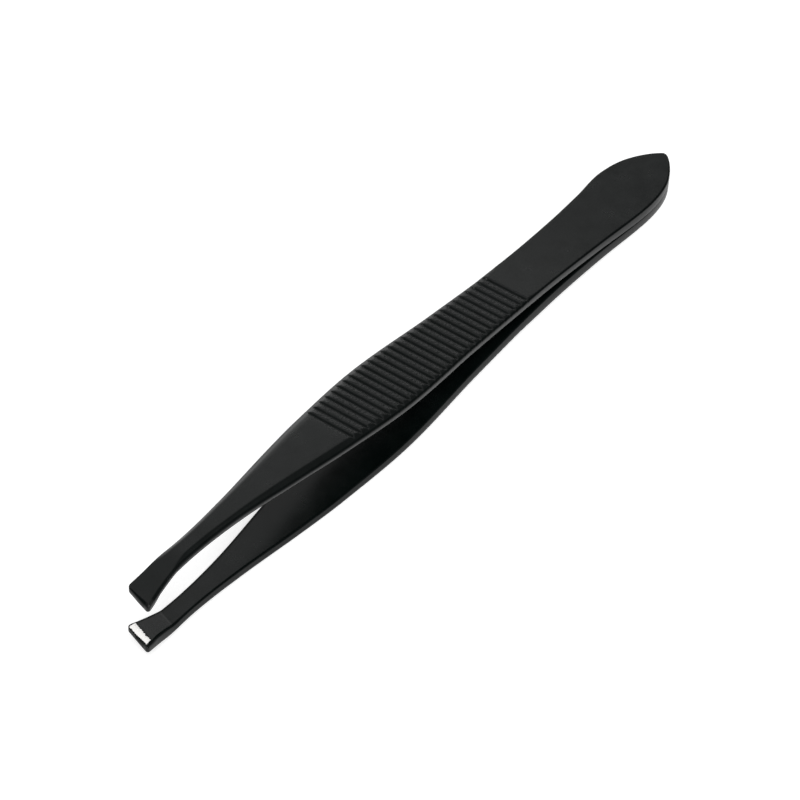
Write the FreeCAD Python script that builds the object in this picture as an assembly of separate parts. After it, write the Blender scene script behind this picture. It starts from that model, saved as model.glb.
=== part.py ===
import FreeCAD, Part
from FreeCAD import Placement, Rotation, Vector
import math
import os

# Slant-tip tweezers: two formed steel arms, joined face to face at a leaf-shaped end.
# Millimetres. +X runs from the leaf end to the tips and +Z is the way the arms squeeze.
# The pair lies as it comes to rest, on the lower arm, with its lowest point at Z = 0.
# One arm is made in its own frame: X along the arm, Y across it, and Z = 0 on the plane
# where the two arms meet. The other arm is its mirror image in that plane.

# Side form, read along the arm from the leaf end to the middle of the tip edge
arm_length = 94.5
steel_thickness = 1.12
leaf_flat_length = 6.6
spring_bend_radius = 420.0
spread_angle = 4.0
hump_bend_radius = 277.0
level_run_length = 6.7
fold_bend_radius = 2.4
fold_angle = 15.0
tip_run_length = 5.2
tip_thickness = 0.84
jaw_ground_depth = 0.20

# Plan form of the leaf end: distance from the leaf end and half width
leaf_plan = [
    (0.4, 0.67),
    (1.3, 1.45),
    (2.6, 2.28),
    (4.2, 3.03),
    (6.2, 3.53),
    (8.8, 3.75),
    (12.6, 3.53),
    (18.6, 3.19),
    (28.1, 2.97),
]
# Plan form of the grip and the tip: distance from the tip edge and half width
front_plan = [
    (52.9, 3.28),
    (40.3, 3.82),
    (29.9, 3.21),
    (22.9, 2.45),
    (14.9, 1.48),
    (8.4, 1.10),
    (3.4, 1.28),
    (-1.6, 1.91),
]
slant_angle = 17.5
leading_corner_radius = 0.45
trailing_corner_radius = 0.25

# Bevels down both long edges of the outer face: distance from the tip edge, how far the
# edge drops below the face, and the slope of the bevel in degrees
bevel_stations = [
    (64.4, 0.00, 28.0),
    (46.9, 0.20, 29.0),
    (29.9, 0.40, 31.0),
    (20.9, 0.44, 34.0),
    (13.9, 0.37, 39.0),
    (7.4, 0.42, 42.0),
    (2.9, 0.42, 42.0),
]

# Ribbed grip: equal grooves across the arm with crowned ribs left between them
groove_count = 29
groove_pitch = 1.123
last_groove_from_tip = 31.4
groove_width = 0.40
groove_depth = 0.27
rib_crest_width = 0.30
rib_shoulder_drop = 0.06

# Reach of the cutters beyond the steel
reach = 2.0

spread = math.radians(spread_angle)
fold = math.radians(fold_angle)
fold_place = arm_length - tip_run_length
level_place = fold_place - level_run_length
bends_length = (spring_bend_radius + hump_bend_radius) * math.sin(spread)
straight_length = (level_place - leaf_flat_length - bends_length) / math.cos(spread)
plan_stations = leaf_plan + [(arm_length - back, half) for back, half in front_plan]
cutter_width = 4 * max(half for _, half in plan_stations)
body_runs = [
    (leaf_flat_length, 0.0),
    (spring_bend_radius * spread, spread),
    (straight_length, 0.0),
    (hump_bend_radius * spread, -spread),
    (level_run_length, 0.0),
]
tip_runs = [
    (level_run_length, 0.0),
    (fold_bend_radius * fold, -fold),
    (tip_run_length + cutter_width, 0.0),
]


def step_along(place, length, turn):
    """Move a place, which is (x, z, heading), along a straight or an even bend."""
    x, z, heading = place
    chord = length
    if turn:
        chord = length * math.sin(turn / 2) / (turn / 2)
    x += chord * math.cos(heading + turn / 2)
    z += chord * math.sin(heading + turn / 2)
    return x, z, heading + turn


def off_face(place, offset):
    """The point that lies an offset outward from the inner face at a place."""
    x, z, heading = place
    return Vector(x - offset * math.sin(heading), 0, z + offset * math.cos(heading))


def face_edges(start, runs, offset):
    """Edges that follow the runs at one offset from the inner face."""
    edges = []
    place = start
    for length, turn in runs:
        middle = off_face(step_along(place, length / 2, turn / 2), offset)
        end = step_along(place, length, turn)
        if turn:
            arc = Part.Arc(off_face(place, offset), middle, off_face(end, offset))
            edges.append(arc.toShape())
        else:
            edges.append(Part.makeLine(off_face(place, offset), off_face(end, offset)))
        place = end
    return edges, place


def bent_strip(start, runs, across):
    """Strip between the inner and outer faces along the runs, swept by the across vector."""
    inner, end = face_edges(start, runs, 0.0)
    outer, end = face_edges(start, runs, steel_thickness)
    caps = [
        Part.makeLine(off_face(start, 0.0), off_face(start, steel_thickness)),
        Part.makeLine(off_face(end, 0.0), off_face(end, steel_thickness)),
    ]
    side = Part.Face(Part.Wire(Part.__sortEdges__(inner + outer + caps)))
    side.translate(across * -0.5)
    return side.extrude(across)


def slanted_block(place):
    """Everything beyond a line across the arm that is parallel to the slanted tip edge."""
    size = 8 * cutter_width
    block = Part.makeBox(size, size, size, Vector(0, -size / 2, -size / 2))
    block.rotate(Vector(), Vector(0, 0, 1), -slant_angle)
    block.translate(Vector(place, 0, 0))
    return block


def whole_strip():
    """Body bent straight across the arm, and a tip run bent along the slanted fold line."""
    body = bent_strip((0.0, 0.0, 0.0), body_runs, Vector(0, cutter_width, 0))
    level_start = (0.0, 0.0, 0.0)
    for length, turn in body_runs[:-1]:
        level_start = step_along(level_start, length, turn)
    lean = cutter_width * math.tan(math.radians(slant_angle))
    tip = bent_strip(level_start, tip_runs, Vector(lean, cutter_width, 0))
    beyond = slanted_block((level_place + fold_place) / 2)
    return body.cut(beyond).fuse(tip.common(beyond)).removeSplitter()


def plan_curve():
    """Edge of the plan form, from one tip corner round the leaf end to the other."""
    left = [Vector(x, half, 0) for x, half in plan_stations]
    right = [Vector(x, -half, 0) for x, half in plan_stations]
    curve = Part.BSplineCurve()
    curve.interpolate(left[::-1] + [Vector(0, 0, 0)] + right)
    return curve


def plan_prism():
    """Upright prism of the plan form, with the slanted tip edge and its round corners."""
    edge = plan_curve().toShape()
    end = Part.makeLine(edge.lastVertex().Point, edge.firstVertex().Point)
    plan = Part.Face(Part.Wire([edge, end]))
    plan.translate(Vector(0, 0, -cutter_width))
    prism = plan.extrude(Vector(0, 0, 2 * cutter_width)).cut(slanted_block(arm_length))
    corners = [e for e in prism.Edges if upright(e) and e.CenterOfMass.x > fold_place]
    corners.sort(key=lambda corner: corner.CenterOfMass.y)
    prism = prism.makeFillet(trailing_corner_radius, corners[:1])
    corners = [e for e in prism.Edges if upright(e) and e.CenterOfMass.y > 0]
    corners.sort(key=lambda corner: corner.CenterOfMass.x)
    return prism.makeFillet(leading_corner_radius, corners[-1:])


def upright(edge):
    """Whether an edge runs straight up."""
    first = edge.firstVertex().Point
    last = edge.lastVertex().Point
    return abs(first.x - last.x) < 1e-6 and abs(first.y - last.y) < 1e-6


def half_width_at(curve, x):
    """Half width of the plan form at a distance from the leaf end."""
    low = curve.FirstParameter
    high = curve.parameter(Vector(0, 0, 0))
    while high - low > 1e-9:
        middle = (low + high) / 2
        if curve.value(middle).x > x:
            low = middle
        else:
            high = middle
    return abs(curve.value(low).y)


def place_at(x):
    """Place on the body's inner face whose outer face lies at a distance from the leaf end."""
    place = (0.0, 0.0, 0.0)
    for length, turn in body_runs:
        end = step_along(place, length, turn)
        if off_face(end, steel_thickness).x >= x:
            break
        place = end
    low, high = 0.0, 1.0
    while high - low > 1e-9:
        part = (low + high) / 2
        if off_face(step_along(place, part * length, part * turn), steel_thickness).x < x:
            low = part
        else:
            high = part
    return step_along(place, low * length, low * turn)


def beveller(side):
    """Tool that takes the bevel off one long edge of the outer face; side is 1 or -1."""
    curve = plan_curve()
    rings = []
    for back, drop, slope_angle in bevel_stations:
        slope = math.radians(slope_angle)
        x = arm_length - back
        body_x = min(x, fold_place)
        top = off_face(place_at(body_x), steel_thickness).z
        edge = Vector(x, side * half_width_at(curve, body_x), top - drop)
        down = Vector(0, side * math.cos(slope), -math.sin(slope))
        inside = edge - down * (drop / math.sin(slope) + 0.2 * steel_thickness)
        outside = edge + down * steel_thickness
        above = Vector(x, outside.y, inside.z)
        rings.append(Part.makePolygon([inside, outside, above, inside]))
    return Part.makeLoft(rings, True, False)


def groove_cutter():
    """One groove with the rounded shoulders beside it, as a bar across the arm."""
    shoulder = (groove_pitch - rib_crest_width) / 2
    lip = groove_width / 2
    middle = (shoulder + lip) / 2
    left_lip = Vector(-lip, 0, -rib_shoulder_drop)
    right_lip = Vector(lip, 0, -rib_shoulder_drop)
    bend_height = -0.3 * rib_shoulder_drop
    left = Part.Arc(Vector(-shoulder, 0, 0), Vector(-middle, 0, bend_height), left_lip)
    right = Part.Arc(right_lip, Vector(middle, 0, bend_height), Vector(shoulder, 0, 0))
    edges = [
        left.toShape(),
        Part.makeLine(left_lip, Vector(0, 0, -groove_depth)),
        Part.makeLine(Vector(0, 0, -groove_depth), right_lip),
        right.toShape(),
        Part.makeLine(Vector(shoulder, 0, 0), Vector(shoulder, 0, reach)),
        Part.makeLine(Vector(shoulder, 0, reach), Vector(-shoulder, 0, reach)),
        Part.makeLine(Vector(-shoulder, 0, reach), Vector(-shoulder, 0, 0)),
    ]
    bar = Part.Face(Part.Wire(edges))
    bar.translate(Vector(0, -cutter_width / 2, 0))
    return bar.extrude(Vector(0, cutter_width, 0))


def grip_grooves():
    """The groove cutter stood on the outer face once for each groove."""
    bars = []
    for number in range(groove_count):
        x = arm_length - last_groove_from_tip - number * groove_pitch * math.cos(spread)
        place = place_at(x)
        heading = math.degrees(place[2])
        bar = groove_cutter()
        bar.Placement = Placement(off_face(place, steel_thickness), Rotation(Vector(0, 1, 0), -heading))
        bars.append(bar)
    return bars


def tip_start():
    """Place on the inner face where the fold ends and the straight tip run begins."""
    place = (0.0, 0.0, 0.0)
    for length, turn in body_runs + tip_runs[1:2]:
        place = step_along(place, length, turn)
    return place


def tip_ground_off():
    """Wedge above the tip run that thins it from the outside, parallel to its inner face."""
    place = tip_start()
    low = off_face(step_along(place, -cutter_width, 0.0), tip_thickness)
    high = off_face(step_along(place, cutter_width, 0.0), tip_thickness)
    over = Vector(high.x, 0, low.z + reach)
    wedge = Part.Face(Part.makePolygon([low, high, over, low]))
    across = Vector(cutter_width * math.tan(math.radians(slant_angle)), cutter_width, 0)
    wedge.translate(across * -0.5)
    return wedge.extrude(across)


def jaw_ground_off():
    """Block whose top is the ground gripping face, flat and parallel to the meeting plane."""
    x, z, heading = tip_start()
    tip_edge_height = z - (arm_length - x) * math.tan(fold)
    size = tip_run_length + cutter_width
    top = tip_edge_height + jaw_ground_depth
    return Part.makeBox(size, 2 * size, size, Vector(fold_place, -size, top - size))


def arm():
    """One finished arm above the meeting plane."""
    steel = whole_strip().common(plan_prism())
    steel = steel.cut([beveller(1), beveller(-1), tip_ground_off()])
    steel = steel.cut(grip_grooves())
    steel = steel.cut(jaw_ground_off())
    return steel.removeSplitter().Solids[0]


def rest_angle():
    """Slope of the line that touches the leaf end and the hump of one arm."""
    start = (0.0, 0.0, 0.0)
    for length, turn in body_runs[:3]:
        start = step_along(start, length, turn)
    centre = off_face(start, -hump_bend_radius) - Vector(0, 0, steel_thickness)
    to_centre = math.atan2(centre.z, centre.x)
    return to_centre + math.asin((hump_bend_radius + steel_thickness) / centre.Length)


def main():
    upper = arm()
    lower = upper.mirror(Vector(), Vector(0, 0, 1))
    lower.rotate(Vector(), Vector(0, 1, 0), -math.degrees(rest_angle()))
    upper.rotate(Vector(), Vector(0, 1, 0), -math.degrees(rest_angle()))
    box = Part.Compound([upper, lower]).optimalBoundingBox(False)
    down = Vector(-box.Center.x, -box.Center.y, -box.ZMin)
    os.makedirs("parts", exist_ok=True)
    for name, piece in (("upper_arm", upper), ("lower_arm", lower)):
        piece.translate(down)
        piece.exportStep("parts/" + name + ".step")


main()
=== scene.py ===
import math

import bmesh
import bpy
from mathutils import Matrix, Vector


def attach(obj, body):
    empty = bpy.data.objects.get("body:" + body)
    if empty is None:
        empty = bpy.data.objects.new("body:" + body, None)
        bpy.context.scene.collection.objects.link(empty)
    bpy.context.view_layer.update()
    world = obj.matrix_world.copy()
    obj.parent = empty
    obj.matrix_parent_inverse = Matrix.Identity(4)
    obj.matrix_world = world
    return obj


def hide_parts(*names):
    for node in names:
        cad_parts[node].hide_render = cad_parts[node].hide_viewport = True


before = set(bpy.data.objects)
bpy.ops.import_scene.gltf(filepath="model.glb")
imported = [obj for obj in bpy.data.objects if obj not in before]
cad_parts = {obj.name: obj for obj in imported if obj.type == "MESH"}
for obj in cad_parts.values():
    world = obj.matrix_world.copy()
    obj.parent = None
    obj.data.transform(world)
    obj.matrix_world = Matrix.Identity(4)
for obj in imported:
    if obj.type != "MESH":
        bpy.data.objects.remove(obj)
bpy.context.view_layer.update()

# Slant-tip tweezers. Each arm is pressed in its own frame, in millimetres: X along the arm
# from the leaf end, Y across it, and Z = 0 on the plane where the two arms meet. A pair of
# places such as (31.0, 40.0) is a stretch over which something grows or fades.
MM = 0.001

# Side form of one arm
ARM_LENGTH = 94.5
STEEL = 1.12
LEAF_FLAT = 6.6
SPRING_BEND = 420.0
SPREAD = math.radians(4.0)
HUMP_BEND = 277.0
FOLD_BEND = 2.4
FOLD = math.radians(15.0)
FOLD_PLACE = ARM_LENGTH - 5.2
LEVEL_PLACE = FOLD_PLACE - 6.7
TIP_THICKNESS = 0.84
JAW_GROUND = 0.20
JAW_RUN = JAW_GROUND / math.tan(FOLD)

# Plan form: distance from the leaf end and half width
PLAN = [
    (0.0, 0.0),
    (0.4, 0.67),
    (1.3, 1.45),
    (2.6, 2.28),
    (4.2, 3.03),
    (6.2, 3.53),
    (8.8, 3.75),
    (12.6, 3.53),
    (18.6, 3.19),
    (28.1, 2.97),
    (41.6, 3.28),
    (54.2, 3.82),
    (64.6, 3.21),
    (71.6, 2.45),
    (79.6, 1.48),
    (86.1, 1.10),
    (91.1, 1.28),
    (96.1, 1.91),
]
LEAF_SKEW = 0.17
LEAF_SKEW_FADES = (7.5, 13.0)
GRIP_SKEW = 0.03
GRIP_GROWS = (31.0, 40.0)
GRIP_FADES = (58.0, 65.0)
COAT = 0.05
COAT_GROWS = (0.0, 3.0)
COAT_THICKENS = (12.0, 26.0)
SLANT_ANGLE = math.radians(17.5)
SLANT = math.tan(SLANT_ANGLE)
SLANT_GROWS = (LEVEL_PLACE - 3.0, FOLD_PLACE - 1.0)
LEADING_CORNER = 0.42
TRAILING_CORNER = 0.40

# Bevels of the outer face: distance from the leaf end, drop of the edge, slope in degrees
BEVEL = [
    (29.5, -0.10, 28.0),
    (33.0, 0.13, 30.0),
    (40.0, 0.16, 30.0),
    (48.0, 0.20, 31.0),
    (56.0, 0.29, 32.0),
    (64.6, 0.40, 31.0),
    (73.6, 0.44, 34.0),
    (80.6, 0.37, 39.0),
    (87.1, 0.42, 42.0),
    (91.6, 0.42, 42.0),
]
BROAD_BEVEL = 0.08
GRIP_CREASE = 0.25
FRONT_CREASE = 0.07
TIP_CREASE = 0.30

# Ribbed grip: the grooves run out at both long edges, on one of them only in part
GROOVES = 29
PITCH = 1.123
GROOVE_STEP = PITCH * math.cos(SPREAD)
LAST_GROOVE = ARM_LENGTH - 31.4
RIBS_START = LAST_GROOVE - (GROOVES - 0.6) * GROOVE_STEP
RIBS_END = LAST_GROOVE + 0.45
GROOVE_HALF = 0.17
GROOVE_DEPTH = 0.25
RIB_SHOULDER = 0.37
RIB_DROP = 0.05
SHOULDER_CURVE = 1.5
RUN_OUT = (-0.05, 0.75)
PART_RUN_OUT = (0.10, 0.75)
PART_RUN_OUT_DEPTH = 0.45

# Rounding of the rib crowns, as a fall for each square of the distance from a rib's middle
RIB_CROWN = 0.14
CROWN_GROWS = (33.0, 42.0)
CROWN_FADES = (54.0, 62.0)
FRONT_CROWN_SHARE = 0.4

# Edges of the steel: each face has one soft and one keen long edge, on opposite sides, and
# the side wall leans in towards the inner face, most where it faces the LEAN_TURN side
SOFT_EDGE = 0.20
TIP_SOFT_EDGE = 0.34
TIP_EDGE_GROWS = (FOLD_PLACE - 2.0, FOLD_PLACE + 3.5)
KEEN_EDGE = 0.07
FLUSH_SHARE = 0.3
FLUSH_FADES = (7.0, 16.0)
WALL_LEAN = 0.12
LEAN_GROWS = (7.0, 24.0)
LEAN_TURN = (-0.2, 0.9)
FAR_SIDE_LEAN = 0.2
LEAN_FADES = (ARM_LENGTH - 2.0, ARM_LENGTH - 0.6)
TIP_LEAN = 0.2
WAIST_LEAN = 0.25
TIP_EDGE_RUN = 0.75
INNER_STEPS = 3
OUTER_STEPS = 4
LEVELS = INNER_STEPS + OUTER_STEPS + 2

# Lie of the pair at rest on the lower arm
REST_ANGLE = math.radians(2.722)
REST_PLACE = Vector((-47.4171, 0.0, 1.1187))


# ---- forms of the steel ----
def blend(low, high, value):
    """Smooth step from 0 to 1 between two values."""
    part = min(1.0, max(0.0, (value - low) / (high - low)))
    return part * part * (3.0 - 2.0 * part)


def smooth_curve(points, value):
    """Smooth curve through (place, height) points, with the slopes taken from its neighbours."""
    last = len(points) - 2
    index = 0
    while index < last and points[index + 1][0] < value:
        index += 1
    (x0, y0), (x1, y1) = points[index], points[index + 1]
    span = x1 - x0
    before = points[max(index - 1, 0)]
    after = points[min(index + 2, len(points) - 1)]
    slope0 = (y1 - before[1]) / (x1 - before[0])
    slope1 = (after[1] - y0) / (after[0] - x0)
    part = (value - x0) / span
    rest = 1.0 - part
    left = (1.0 + 2.0 * part) * rest ** 2 * y0 + part * rest ** 2 * span * slope0
    right = part * part * (3.0 - 2.0 * part) * y1 - part * part * rest * span * slope1
    return left + right


def in_grip(x):
    """1 over the ribbed grip, fading to 0 at both ends of it."""
    return blend(*GRIP_GROWS, x) * (1.0 - blend(*GRIP_FADES, x))


def half_width(x):
    """Half width of the plan form; the leaf end is round, so it is read over the root of x."""
    points = [(math.sqrt(place), width) for place, width in PLAN]
    coat = COAT * (blend(*COAT_GROWS, x) + blend(*COAT_THICKENS, x)) + GRIP_SKEW * in_grip(x)
    return smooth_curve(points, math.sqrt(max(x, 0.0))) + coat


def middle_line(x):
    """The hand-ground leaf and the grip sit a little to one side of the arm's centre line."""
    return -LEAF_SKEW * (1.0 - blend(*LEAF_SKEW_FADES, x)) - GRIP_SKEW * in_grip(x)


def bent_height(x, offset):
    """Height of the bent steel at an offset from its inner face, up to the fold."""
    spring = SPRING_BEND - offset
    spring_end = LEAF_FLAT + spring * math.sin(SPREAD)
    bends = SPRING_BEND + HUMP_BEND
    straight = (LEVEL_PLACE - LEAF_FLAT - bends * math.sin(SPREAD)) / math.cos(SPREAD)
    level = bends * (1.0 - math.cos(SPREAD)) + straight * math.sin(SPREAD)
    hump = HUMP_BEND + offset
    hump_start = LEVEL_PLACE - hump * math.sin(SPREAD)
    if x < LEAF_FLAT:
        return offset
    if x < spring_end:
        return SPRING_BEND - math.sqrt(spring ** 2 - (x - LEAF_FLAT) ** 2)
    if x < hump_start:
        return SPRING_BEND - spring * math.cos(SPREAD) + (x - spring_end) * math.tan(SPREAD)
    if x < LEVEL_PLACE:
        return level - HUMP_BEND + math.sqrt(hump ** 2 - (LEVEL_PLACE - x) ** 2)
    return level + offset


def along_slant(x, y):
    """Distance along the arm, read parallel to the slanted tip edge."""
    return x - SLANT * y


def inner_height(x, y):
    """Inner face: the bent steel, the fold along the slant and the ground jaw at its end."""
    place = along_slant(x, y)
    if place < FOLD_PLACE:
        return bent_height(min(x, FOLD_PLACE), 0.0)
    level = bent_height(FOLD_PLACE, 0.0)
    bend_end = FOLD_PLACE + FOLD_BEND * math.sin(FOLD)
    if place < bend_end:
        return level - FOLD_BEND + math.sqrt(FOLD_BEND ** 2 - (place - FOLD_PLACE) ** 2)
    return max(tip_height(place), jaw_height())


def tip_height(place):
    """Height of the tip run's inner face, before the jaw is ground."""
    bend_end = FOLD_PLACE + FOLD_BEND * math.sin(FOLD)
    level = bent_height(FOLD_PLACE, 0.0)
    return level - FOLD_BEND * (1.0 - math.cos(FOLD)) - (place - bend_end) * math.tan(FOLD)


def jaw_height():
    """Height of the ground jaw above the meeting plane."""
    return tip_height(ARM_LENGTH) + JAW_GROUND


def bevel_height(x, from_edge):
    """Height of a bevel at a distance in from the long edge of the outer face."""
    place = min(x, FOLD_PLACE)
    index = 0
    while index < len(BEVEL) - 2 and BEVEL[index + 1][0] < x:
        index += 1
    (x0, drop0, slope0), (x1, drop1, slope1) = BEVEL[index], BEVEL[index + 1]
    part = min(1.0, max(0.0, (x - x0) / (x1 - x0)))
    drop = drop0 + (drop1 - drop0) * part
    slope = math.radians(slope0 + (slope1 - slope0) * part)
    return bent_height(place, STEEL) - drop + from_edge * math.tan(slope)


def groove_depth(x):
    """Depth of the ribbed grip's grooves, of its ribs' shoulders and of their round crowns."""
    number = min(GROOVES - 1, max(0, round((LAST_GROOVE - x) / GROOVE_STEP)))
    off = abs(x - (LAST_GROOVE - number * GROOVE_STEP)) / math.cos(SPREAD)
    crown = RIB_CROWN * blend(*CROWN_GROWS, x)
    crown *= 1.0 - (1.0 - FRONT_CROWN_SHARE) * blend(*CROWN_FADES, x)
    rounded = crown * max(PITCH / 2.0 - off, 0.0) ** 2
    if off > RIB_SHOULDER:
        return rounded
    if off > GROOVE_HALF:
        part = (RIB_SHOULDER - off) / (RIB_SHOULDER - GROOVE_HALF)
        return rounded + RIB_DROP * part ** SHOULDER_CURVE
    return rounded + RIB_DROP + (GROOVE_DEPTH - RIB_DROP) * (1.0 - off / GROOVE_HALF)


def lower_of(heights, softness):
    """Lowest of some heights, with a soft crease where two of them cross."""
    lowest = heights[0]
    for height in heights[1:]:
        near = max(softness - abs(lowest - height), 0.0) / softness
        lowest = min(lowest, height) - near * near * softness / 4.0
    return lowest


def outer_height(x, y):
    """Outer face: the bent steel with its grooves, bevels and thinned tip."""
    from_edge = max(half_width(x) - abs(y - middle_line(x)), 0.0)
    if y > 0.0:
        full = 1.0 - PART_RUN_OUT_DEPTH
        shallow = PART_RUN_OUT_DEPTH + full * blend(*PART_RUN_OUT, from_edge)
    else:
        shallow = blend(*RUN_OUT, from_edge)
    cut = groove_depth(x) * shallow
    heights = [bent_height(min(x, FOLD_PLACE), STEEL) - cut]
    if x > BEVEL[0][0]:
        broad = BROAD_BEVEL * in_grip(x) if y < 0.0 else 0.0
        heights.append(bevel_height(x, from_edge) - broad)
    softness = GRIP_CREASE + (FRONT_CREASE - GRIP_CREASE) * blend(*GRIP_FADES, x)
    height = lower_of(heights, softness)
    if x > LEVEL_PLACE:
        ground = tip_height(along_slant(x, y)) + TIP_THICKNESS / math.cos(FOLD)
        height = lower_of([height, ground], TIP_CREASE)
    return height


# ---- the blank: stations along the arm, rows across it ----
def evenly(start, end, step):
    """Places from start up to, but not at, the end, about one step apart."""
    count = max(1, round((end - start) / step))
    return [start + (end - start) * number / count for number in range(count)]


LEAF_STATIONS = (
    0.012, 0.045, 0.10, 0.18, 0.29, 0.43, 0.60, 0.80, 1.05, 1.35, 1.70, 2.10, 2.55,
)
SHAFT_START = 3.0
SHAFT_STEP = 0.5
RIB_STATIONS = (
    -PITCH / 2.0, -0.45, -0.37, -0.29, -0.23, -0.18, -0.12, -0.06,
    0.0, 0.06, 0.12, 0.18, 0.23, 0.29, 0.37, 0.45,
)
FRONT_STEP = 0.45
LEVEL_STEP = 0.3
TIP_START = FOLD_PLACE - 1.6
TIP_STEP = 0.16
TIP_EDGE_STATIONS = (JAW_RUN, 0.6, LEADING_CORNER, 0.36, 0.28, 0.20, 0.14, 0.09, 0.05, 0.02, 0.0)


def list_stations():
    """Stations along the arm: close at the leaf end, at the ribs, at the fold and the corners."""
    places = list(LEAF_STATIONS)
    places += evenly(SHAFT_START, LAST_GROOVE - (GROOVES - 0.5) * GROOVE_STEP, SHAFT_STEP)
    for number in reversed(range(GROOVES)):
        centre = LAST_GROOVE - number * GROOVE_STEP
        places += [centre + off * math.cos(SPREAD) for off in RIB_STATIONS]
    places += evenly(LAST_GROOVE + PITCH / 2.0, LEVEL_PLACE, FRONT_STEP)
    places += evenly(LEVEL_PLACE, TIP_START, LEVEL_STEP)
    places += evenly(TIP_START, ARM_LENGTH - JAW_RUN, TIP_STEP)
    places += [ARM_LENGTH - back for back in TIP_EDGE_STATIONS]
    return places


STATIONS = list_stations()

# Rows across the arm: distances in from a long edge, then shares of the way to the middle.
# On a narrow station the band of close rows takes at most BAND_LIMIT of the half width.
BAND = [0.0, 0.10, 0.20, 0.30, 0.40, 0.50, 0.60, 0.72]
INSIDE = [0.2, 0.4, 0.6, 0.8, 1.0]
ROWS = 2 * (len(BAND) + len(INSIDE)) - 1
LAST = len(STATIONS) - 1
BAND_LIMIT = 0.8

# Rounds of guesses that settle where a leaning station meets the edge
SLANT_ROUNDS = 12


def edge_point(station, side):
    """Point where a station meets the plan form's edge; side is -1 or 1 across the arm."""
    place = STATIONS[station]
    lean = SLANT * blend(*SLANT_GROWS, place)
    x = place
    y = 0.0
    for again in range(SLANT_ROUNDS):
        y = middle_line(x) + side * half_width(x)
        x = place + lean * y
    corner = LEADING_CORNER if side > 0 else TRAILING_CORNER
    back = ARM_LENGTH - place
    if back < corner:
        y -= side * (corner - math.sqrt(corner ** 2 - (corner - back) ** 2))
        x = place + lean * y
    return Vector((x, y))


def row_part(length, row):
    """Part of the way across a station at which a row lies: close rows down both edges."""
    middle = ROWS // 2
    near = min(row, ROWS - 1 - row)
    band = min(BAND[-1], BAND_LIMIT * length / 2.0)
    if near < len(BAND):
        off = BAND[near] / BAND[-1] * band
    else:
        off = band + (length / 2.0 - band) * INSIDE[near - len(BAND)]
    if row > middle:
        off = length - off
    return off / length


def edge_table():
    """Plan points all round the edge with their outward directions, by station and row."""
    left = [edge_point(station, -1) for station in range(LAST + 1)]
    right = [edge_point(station, 1) for station in range(LAST + 1)]
    ring = [((station, 0), left[station]) for station in range(LAST + 1)]
    for row in range(1, ROWS - 1):
        span = right[LAST] - left[LAST]
        ring.append(((LAST, row), left[LAST] + span * row_part(span.length, row)))
    ring += [((station, ROWS - 1), right[station]) for station in reversed(range(LAST + 1))]
    for row in reversed(range(1, ROWS - 1)):
        span = right[0] - left[0]
        ring.append(((0, row), left[0] + span * row_part(span.length, row)))
    table = {}
    for number, (key, point) in enumerate(ring):
        run = ring[(number + 1) % len(ring)][1] - ring[number - 1][1]
        table[key] = (point, Vector((run.y, -run.x)).normalized())
    return table


def edge_rounding(point, outward, soft_side):
    """Radius of an edge: it changes round the ends, and the tip's soft corner is rounder still."""
    soft = SOFT_EDGE + (TIP_SOFT_EDGE - SOFT_EDGE) * blend(*TIP_EDGE_GROWS, point.x)
    across = outward.y
    if point.x > TIP_EDGE_GROWS[0]:
        across = max(-1.0, min(1.0, point.y / half_width(point.x)))
    return KEEN_EDGE + (soft - KEEN_EDGE) * (1.0 + soft_side * across) / 2.0


def wall_lean(point, outward):
    """How far the side wall leans in: most on one side, and little where the leaves are flush."""
    side = FAR_SIDE_LEAN + (1.0 - FAR_SIDE_LEAN) * blend(*LEAN_TURN, outward.y)
    lean = WALL_LEAN * blend(*LEAN_GROWS, point.x) * side
    return lean * (1.0 - (1.0 - TIP_LEAN) * blend(*LEAN_FADES, point.x))


def edge_inset(table, key, side, outside):
    """Rounding of a face's edge and lean of the wall under it, at a point of the ring."""
    point, outward = table[key]
    rounding = edge_rounding(point, outward, side)
    if outside:
        return rounding, 0.0
    rounding *= FLUSH_SHARE + (1.0 - FLUSH_SHARE) * blend(*FLUSH_FADES, point.x)
    return rounding, wall_lean(point, outward)


def rim_point(table, key, side, outside):
    """Point of the ring moved in to where the flat of a face begins."""
    point, outward = table[key]
    return point - outward * sum(edge_inset(table, key, side, outside))


def face_point(table, station, row, side, outside):
    """Point within a face: between its two long rims, and drawn to the run of the tip edge."""
    left = rim_point(table, (station, 0), side, outside)
    right = rim_point(table, (station, ROWS - 1), side, outside)
    place = left.lerp(right, row_part((right - left).length, row))
    share = 1.0 - (ARM_LENGTH - STATIONS[station]) / TIP_EDGE_RUN
    if share > 0.0:
        left = rim_point(table, (LAST, 0), side, outside)
        right = rim_point(table, (LAST, ROWS - 1), side, outside)
        straight = left.lerp(right, row_part((right - left).length, row))
        place += share * (rim_point(table, (LAST, row), side, outside) - straight)
    return place


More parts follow.
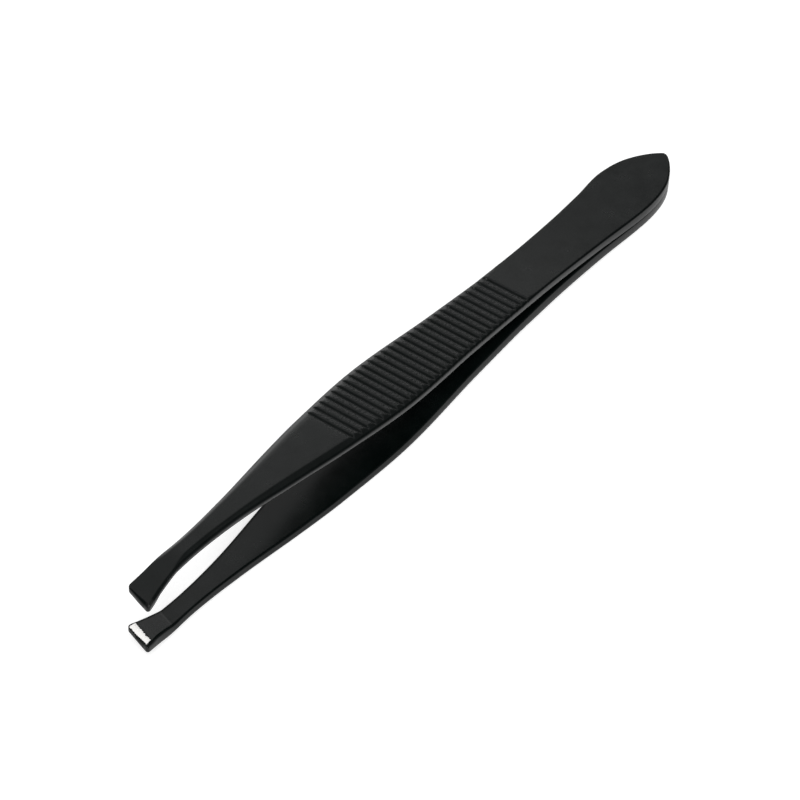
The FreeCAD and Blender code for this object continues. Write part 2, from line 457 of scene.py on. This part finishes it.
def press(vert, table, soft_side):
    """Takes a point of the flat blank to its place on the pressed and ground arm."""
    station = round((vert.co.x + 1.0) / 2.0 * LAST)
    row = round((vert.co.y + 1.0) / 2.0 * (ROWS - 1))
    level = round(vert.co.z * LEVELS)
    outside = level > INNER_STEPS + 1
    side = soft_side if outside else -soft_side
    if (station, row) in table:
        point, outward = table[(station, row)]
        rounding, lean = edge_inset(table, (station, row), side, outside)
        if outside:
            turn = math.pi / 2.0 * (LEVELS - level) / OUTER_STEPS
        else:
            turn = math.pi / 2.0 * min(level, INNER_STEPS) / INNER_STEPS
            lean *= WAIST_LEAN if level > INNER_STEPS else 1.0
        x, y = point - outward * (rounding * (1.0 - math.sin(turn)) + lean)
        fall = rounding * (1.0 - math.cos(turn))
    else:
        x, y = face_point(table, station, row, side, outside)
        fall = 0.0
    top = outer_height(x, y)
    bottom = inner_height(x, y)
    if level == INNER_STEPS + 1:
        over = edge_inset(table, (station, row), soft_side, True)[0]
        under = edge_inset(table, (station, row), -soft_side, False)[0]
        vert.co = Vector((x, y, (bottom + under + top - over) / 2.0))
    elif outside:
        vert.co = Vector((x, y, top - fall))
    else:
        low = bottom + fall
        if along_slant(x, y) > ARM_LENGTH - JAW_RUN:
            low = max(tip_height(along_slant(x, y)) + fall, jaw_height())
        vert.co = Vector((x, y, low))


# Finishes of an arm, in the order of its materials, and where they begin and end. The last is a
# duller copy of the lacquer and is painted shade: a dark line along the rounded long edges, the
# side walls and the tip end
LACQUER, BARE_JAW, RIBS, EDGE_SHADE = range(4)
JAW_FACES = 1.6
OUTER_EDGE_SHADE_END = 1.2
TIP_EDGE_FACE = 0.9999
TIP_CORNER_ROWS = 4
EDGE_STRIP = 2.0
FACE_ONLY = 0.1


def finish_of(face, flip):
    """Finish of a face of the flat blank, from its place, row and level; faces along the rounded
    edges and the tip end get the painted edge shade.
    """
    middle = face.calc_center_median()
    place = STATIONS[int((middle.x + 1.0) / 2.0 * LAST)]
    row = (middle.y + 1.0) / 2.0 * (ROWS - 1)
    from_side = min(row, ROWS - 1 - row)
    from_inner = middle.z * LEVELS
    from_outer = LEVELS - from_inner
    soft = (middle.y > 0.0) != flip
    on_tip_edge = middle.x > TIP_EDGE_FACE
    on_jaw = place > ARM_LENGTH - JAW_FACES and from_inner < 1.0 and from_side > 1.0
    if on_jaw and not on_tip_edge:
        return BARE_JAW
    # The duller edge finish is painted shade: a dark line on the tip end and along the rounded
    # edges and side walls
    if on_tip_edge:
        return EDGE_SHADE if from_inner > FACE_ONLY and row < ROWS - TIP_CORNER_ROWS else LACQUER
    if from_inner < EDGE_STRIP and (from_inner > FACE_ONLY or (soft and from_side < EDGE_STRIP)):
        return EDGE_SHADE
    outer_edge_shade = FACE_ONLY < from_outer < EDGE_STRIP + 1.0
    if outer_edge_shade and place < ARM_LENGTH - OUTER_EDGE_SHADE_END and (soft or place > FOLD_PLACE):
        return EDGE_SHADE
    if RIBS_START < place < RIBS_END and from_outer < 1.0:
        return RIBS
    return LACQUER


# How near a point lies to the jaw's plane to be on it
JAW_FLATNESS = 0.0001


def arm_mesh(flip):
    """One arm: a flat blank with thickness and edge loops, pressed to form and laid at rest."""
    bm = bmesh.new()
    bmesh.ops.create_grid(bm, x_segments=LAST, y_segments=ROWS - 1, size=1.0)
    raised = bmesh.ops.extrude_face_region(bm, geom=bm.faces[:])["geom"]
    raised = [part for part in raised if isinstance(part, bmesh.types.BMVert)]
    bmesh.ops.translate(bm, verts=raised, vec=(0.0, 0.0, 1.0))
    uprights = [e for e in bm.edges if abs(e.verts[0].co.z - e.verts[1].co.z) > 0.5]
    bmesh.ops.subdivide_edges(bm, edges=uprights, cuts=LEVELS - 1, use_grid_fill=True)
    for face in bm.faces:
        face.smooth = True
        face.material_index = finish_of(face, flip)
    table = edge_table()
    for vert in bm.verts:
        press(vert, table, -1.0 if flip else 1.0)
    jaw = jaw_height()
    for edge in bm.edges:
        ground = [
            all(abs(vert.co.z - jaw) < JAW_FLATNESS for vert in face.verts)
            for face in edge.link_faces
        ]
        if len(set(ground)) == 2:
            edge.smooth = False
    if flip:
        bmesh.ops.scale(bm, verts=bm.verts, vec=(1.0, 1.0, -1.0))
    bmesh.ops.recalc_face_normals(bm, faces=bm.faces)
    lie = Matrix.Translation(REST_PLACE) @ Matrix.Rotation(-REST_ANGLE, 4, "Y")
    bmesh.ops.transform(bm, matrix=Matrix.Scale(MM, 4) @ lie, verts=bm.verts)
    return bm


def add_object(name, bm, materials):
    """Adds a finished mesh to the scene under its name."""
    mesh = bpy.data.meshes.new(name)
    bm.to_mesh(mesh)
    bm.free()
    for material in materials:
        mesh.materials.append(material)
    piece = bpy.data.objects.new(name, mesh)
    bpy.context.scene.collection.objects.link(piece)
    return piece


# ---- finishes ----
def new_material(name):
    """Material with its shader, and a helper that adds nodes; i0 is a node's first input."""
    material = bpy.data.materials.new(name)
    material.use_nodes = True
    tree = material.node_tree
    shader = tree.nodes["Principled BSDF"]

    def node(kind, settings=(), **inputs):
        made = tree.nodes.new(kind)
        for key, value in settings:
            setattr(made, key, value)
        for key, value in inputs.items():
            numbered = key[0] == "i" and key[1:].isdigit()
            socket = made.inputs[int(key[1:]) if numbered else key.replace("_", " ")]
            if isinstance(value, bpy.types.NodeSocket):
                tree.links.new(value, socket)
            else:
                socket.default_value = value
        return made

    return material, tree, shader, node


DEEP_BLACK = (0.0003, 0.0013, 0.0011, 1.0)
SOFT_BLACK = (0.0010, 0.0023, 0.0021, 1.0)
# Black of the lacquer at the jaw's ragged border, also used for painted shade along the tip edge
# in front of the bare strip
JAW_LACQUER_AND_SHADE = (0.0006, 0.0018, 0.0016, 1.0)
BARE_STEEL = (0.97, 0.96, 0.94, 1.0)


def black_lacquer(name, peel_scale, peel_depth, shine):
    """Semi-gloss black lacquer with a faint orange peel and soft mottling."""
    material, tree, shader, node = new_material(name)
    place = node("ShaderNodeTexCoord").outputs["Object"]
    peel = node("ShaderNodeTexNoise", Vector=place, Scale=peel_scale, Detail=3.0, Roughness=0.55)
    mottle = node("ShaderNodeTexNoise", Vector=place, Scale=420.0, Detail=4.0, Roughness=0.6)
    rough = node(
        "ShaderNodeMapRange", Value=mottle.outputs["Fac"],
        From_Min=0.3, From_Max=0.7, To_Min=0.22, To_Max=0.28,
    )
    tree.links.new(rough.outputs["Result"], shader.inputs["Roughness"])
    tone = node("ShaderNodeValToRGB", Fac=mottle.outputs["Fac"])
    tone.color_ramp.elements[0].position = 0.30
    tone.color_ramp.elements[0].color = DEEP_BLACK
    tone.color_ramp.elements[1].position = 0.70
    tone.color_ramp.elements[1].color = SOFT_BLACK
    tree.links.new(tone.outputs["Color"], shader.inputs["Base Color"])
    bump = node("ShaderNodeBump", Height=peel.outputs["Fac"], Strength=0.4, Distance=peel_depth)
    tree.links.new(bump.outputs["Normal"], shader.inputs["Normal"])
    shader.inputs["Specular IOR Level"].default_value = shine
    return material


def ground_jaw():
    """Bare ground strip of a tip, with fine grinding lines and a ragged border to the lacquer
    behind it; a black band in front of it, along the tip edge, is painted shade.
    """
    material, tree, shader, node = new_material("ground_jaw")
    place = node("ShaderNodeTexCoord").outputs["Object"]
    # Millimetres back from the slanted tip edge, at the arm's lie at rest
    lean = (-math.cos(REST_ANGLE) / MM, SLANT / MM, -math.sin(REST_ANGLE) / MM)
    start = ARM_LENGTH + REST_PLACE.x * math.cos(REST_ANGLE) + REST_PLACE.z * math.sin(REST_ANGLE)
    back = node("ShaderNodeVectorMath", (("operation", "DOT_PRODUCT"),), i0=place, i1=lean)
    back = node("ShaderNodeMath", (("operation", "ADD"),), i0=back.outputs["Value"], i1=start)
    chips = node("ShaderNodeTexNoise", Vector=place, Scale=3200.0, Detail=3.0)
    border = node(
        "ShaderNodeMath", (("operation", "MULTIPLY_ADD"),),
        i0=chips.outputs["Fac"], i1=0.55, i2=back.outputs[0],
    )
    behind = node(
        "ShaderNodeMapRange", Value=border.outputs[0],
        From_Min=1.29, From_Max=1.35, To_Min=1.0, To_Max=0.0,
    )
    # Mask that is 0 within about 0.2 mm of the tip edge, where the ground steel is painted black:
    # painted shade along the tip edge
    past_front_shade = node("ShaderNodeMapRange", Value=border.outputs[0], From_Min=0.42, From_Max=0.48)
    bare = node(
        "ShaderNodeMath", (("operation", "MULTIPLY"),),
        i0=behind.outputs["Result"], i1=past_front_shade.outputs["Result"],
    )
    colour = node("ShaderNodeMix", (("data_type", "RGBA"),))
    tree.links.new(bare.outputs[0], colour.inputs[0])
    colour.inputs[6].default_value = JAW_LACQUER_AND_SHADE
    colour.inputs[7].default_value = BARE_STEEL
    tree.links.new(colour.outputs[2], shader.inputs["Base Color"])
    metal = node("ShaderNodeMath", (("operation", "MULTIPLY"),), i0=bare.outputs[0], i1=0.25)
    tree.links.new(metal.outputs[0], shader.inputs["Metallic"])
    turned = node(
        "ShaderNodeMapping", Vector=place,
        Rotation=(0.0, 0.0, SLANT_ANGLE), Scale=(9000.0, 500.0, 500.0),
    )
    lines = node("ShaderNodeTexNoise", Vector=turned.outputs["Vector"], Scale=1.0, Detail=2.0)
    bump = node("ShaderNodeBump", Height=lines.outputs["Fac"], Strength=0.25, Distance=0.000004)
    tree.links.new(bump.outputs["Normal"], shader.inputs["Normal"])
    shine = node(
        "ShaderNodeMapRange", Value=border.outputs[0],
        From_Min=1.38, From_Max=1.52, To_Min=0.12, To_Max=0.5,
    )
    tree.links.new(shine.outputs["Result"], shader.inputs["Specular IOR Level"])
    rough = node("ShaderNodeMapRange", Value=bare.outputs[0], To_Min=0.26, To_Max=0.5)
    tree.links.new(rough.outputs["Result"], shader.inputs["Roughness"])
    return material


def pale_floor():
    """White floor that the camera and reflections see as white, and that keeps a soft shadow."""
    material, tree, shader, node = new_material("pale_floor")
    shader.inputs["Base Color"].default_value = (0.50, 0.50, 0.50, 1.0)
    shader.inputs["Roughness"].default_value = 1.0
    shader.inputs["Specular IOR Level"].default_value = 0.0
    shader.inputs["Emission Color"].default_value = (1.0, 1.0, 1.0, 1.0)
    ray = node("ShaderNodeLightPath")
    seen = node(
        "ShaderNodeMath", (("operation", "MAXIMUM"),),
        i0=ray.outputs["Is Camera Ray"], i1=ray.outputs["Is Transmission Ray"],
    )
    seen = node("ShaderNodeMath", (("operation", "MULTIPLY"),), i0=seen.outputs[0], i1=0.66)
    mirrored = node(
        "ShaderNodeMath", (("operation", "MULTIPLY_ADD"),),
        i0=ray.outputs["Is Glossy Ray"], i1=0.10, i2=seen.outputs[0],
    )
    tree.links.new(mirrored.outputs[0], shader.inputs["Emission Strength"])
    return material


# ---- the pieces ----
lacquer = black_lacquer("black_lacquer", peel_scale=1500.0, peel_depth=0.00001, shine=0.5)
ribbed = black_lacquer("ribbed_lacquer", peel_scale=2800.0, peel_depth=0.00010, shine=0.5)
# Duller copy of the lacquer that paints shade: a dark line along the rounded edges and on the tip
# end
edge_shade = black_lacquer("painted_rim_shade", peel_scale=1500.0, peel_depth=0.00001, shine=0.20)
finishes = [lacquer, ground_jaw(), ribbed, edge_shade]
for node_name, flip in (("upper_arm", False), ("lower_arm", True)):
    arm = add_object(node_name + "_pressed", arm_mesh(flip), finishes)
    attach(arm, "root")
    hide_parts(node_name)

FLOOR_REACH = 6.0
FLOOR_GAP = 0.00002
floor_mesh = bmesh.new()
bmesh.ops.create_grid(floor_mesh, x_segments=1, y_segments=1, size=FLOOR_REACH)
bmesh.ops.translate(floor_mesh, verts=floor_mesh.verts, vec=(0.0, 0.0, -FLOOR_GAP))
add_object("floor", floor_mesh, [pale_floor()])


# ---- light and camera ----
def soft_lamp(name, toward, distance, width, height, power):
    """Soft box that lights the tweezers from one direction."""
    lamp = bpy.data.lights.new(name, "AREA")
    lamp.shape = "RECTANGLE"
    lamp.size = width
    lamp.size_y = height
    lamp.energy = power
    holder = bpy.data.objects.new(name, lamp)
    bpy.context.scene.collection.objects.link(holder)
    aim = Vector(toward).normalized()
    holder.location = aim * distance
    holder.rotation_euler = (-aim).to_track_quat("-Z", "Y").to_euler()


soft_lamp("low_softbox", (-0.354, -0.877, 0.326), 1.0, width=1.06, height=0.8, power=2.4)
soft_lamp("back_softbox", (-0.806, -0.395, 0.441), 1.0, width=0.4, height=0.14, power=0.17)
soft_lamp("high_softbox", (-0.26, -0.45, 0.86), 1.0, width=0.90, height=0.90, power=0.68)
soft_lamp("key_softbox", (0.45, 0.35, 0.82), 1.2, width=0.6, height=0.6, power=14.5)
soft_lamp("edge_softbox", (-0.10, 0.78, 0.62), 1.0, width=0.14, height=0.30, power=1.6)

WORLD_LIGHT = 0.13
world = bpy.data.worlds.new("studio")
world.use_nodes = True
backdrop = world.node_tree.nodes["Background"]
backdrop.inputs["Color"].default_value = (1.0, 1.0, 1.0, 1.0)
backdrop.inputs["Strength"].default_value = WORLD_LIGHT
bpy.context.scene.world = world

# Camera in millimetres: a long lens from above and in front, turned a little about its axis
VIEW_PLACE = Vector((250.818, 174.204, 297.635)) * MM
VIEW_TARGET = Vector((5.5030, 1.6030, 5.0)) * MM
VIEW_ROLL = math.radians(2.076)
LENS = 180.0
SENSOR_WIDTH = 36.0
NEAREST = 0.01

camera = bpy.data.cameras.new("view_camera")
camera.lens = LENS
camera.sensor_width = SENSOR_WIDTH
camera.clip_start = NEAREST
view = bpy.data.objects.new("view_camera", camera)
bpy.context.scene.collection.objects.link(view)
view.location = VIEW_PLACE
forward = (VIEW_TARGET - VIEW_PLACE).normalized()
level = forward.cross(Vector((0.0, 0.0, 1.0))).normalized()
upright = level.cross(forward)
right = level * math.cos(VIEW_ROLL) + upright * math.sin(VIEW_ROLL)
view.rotation_euler = Matrix((right, right.cross(forward), -forward)).transposed().to_euler()
bpy.context.scene.camera = view
bpy.context.scene.view_settings.view_transform = "Standard"
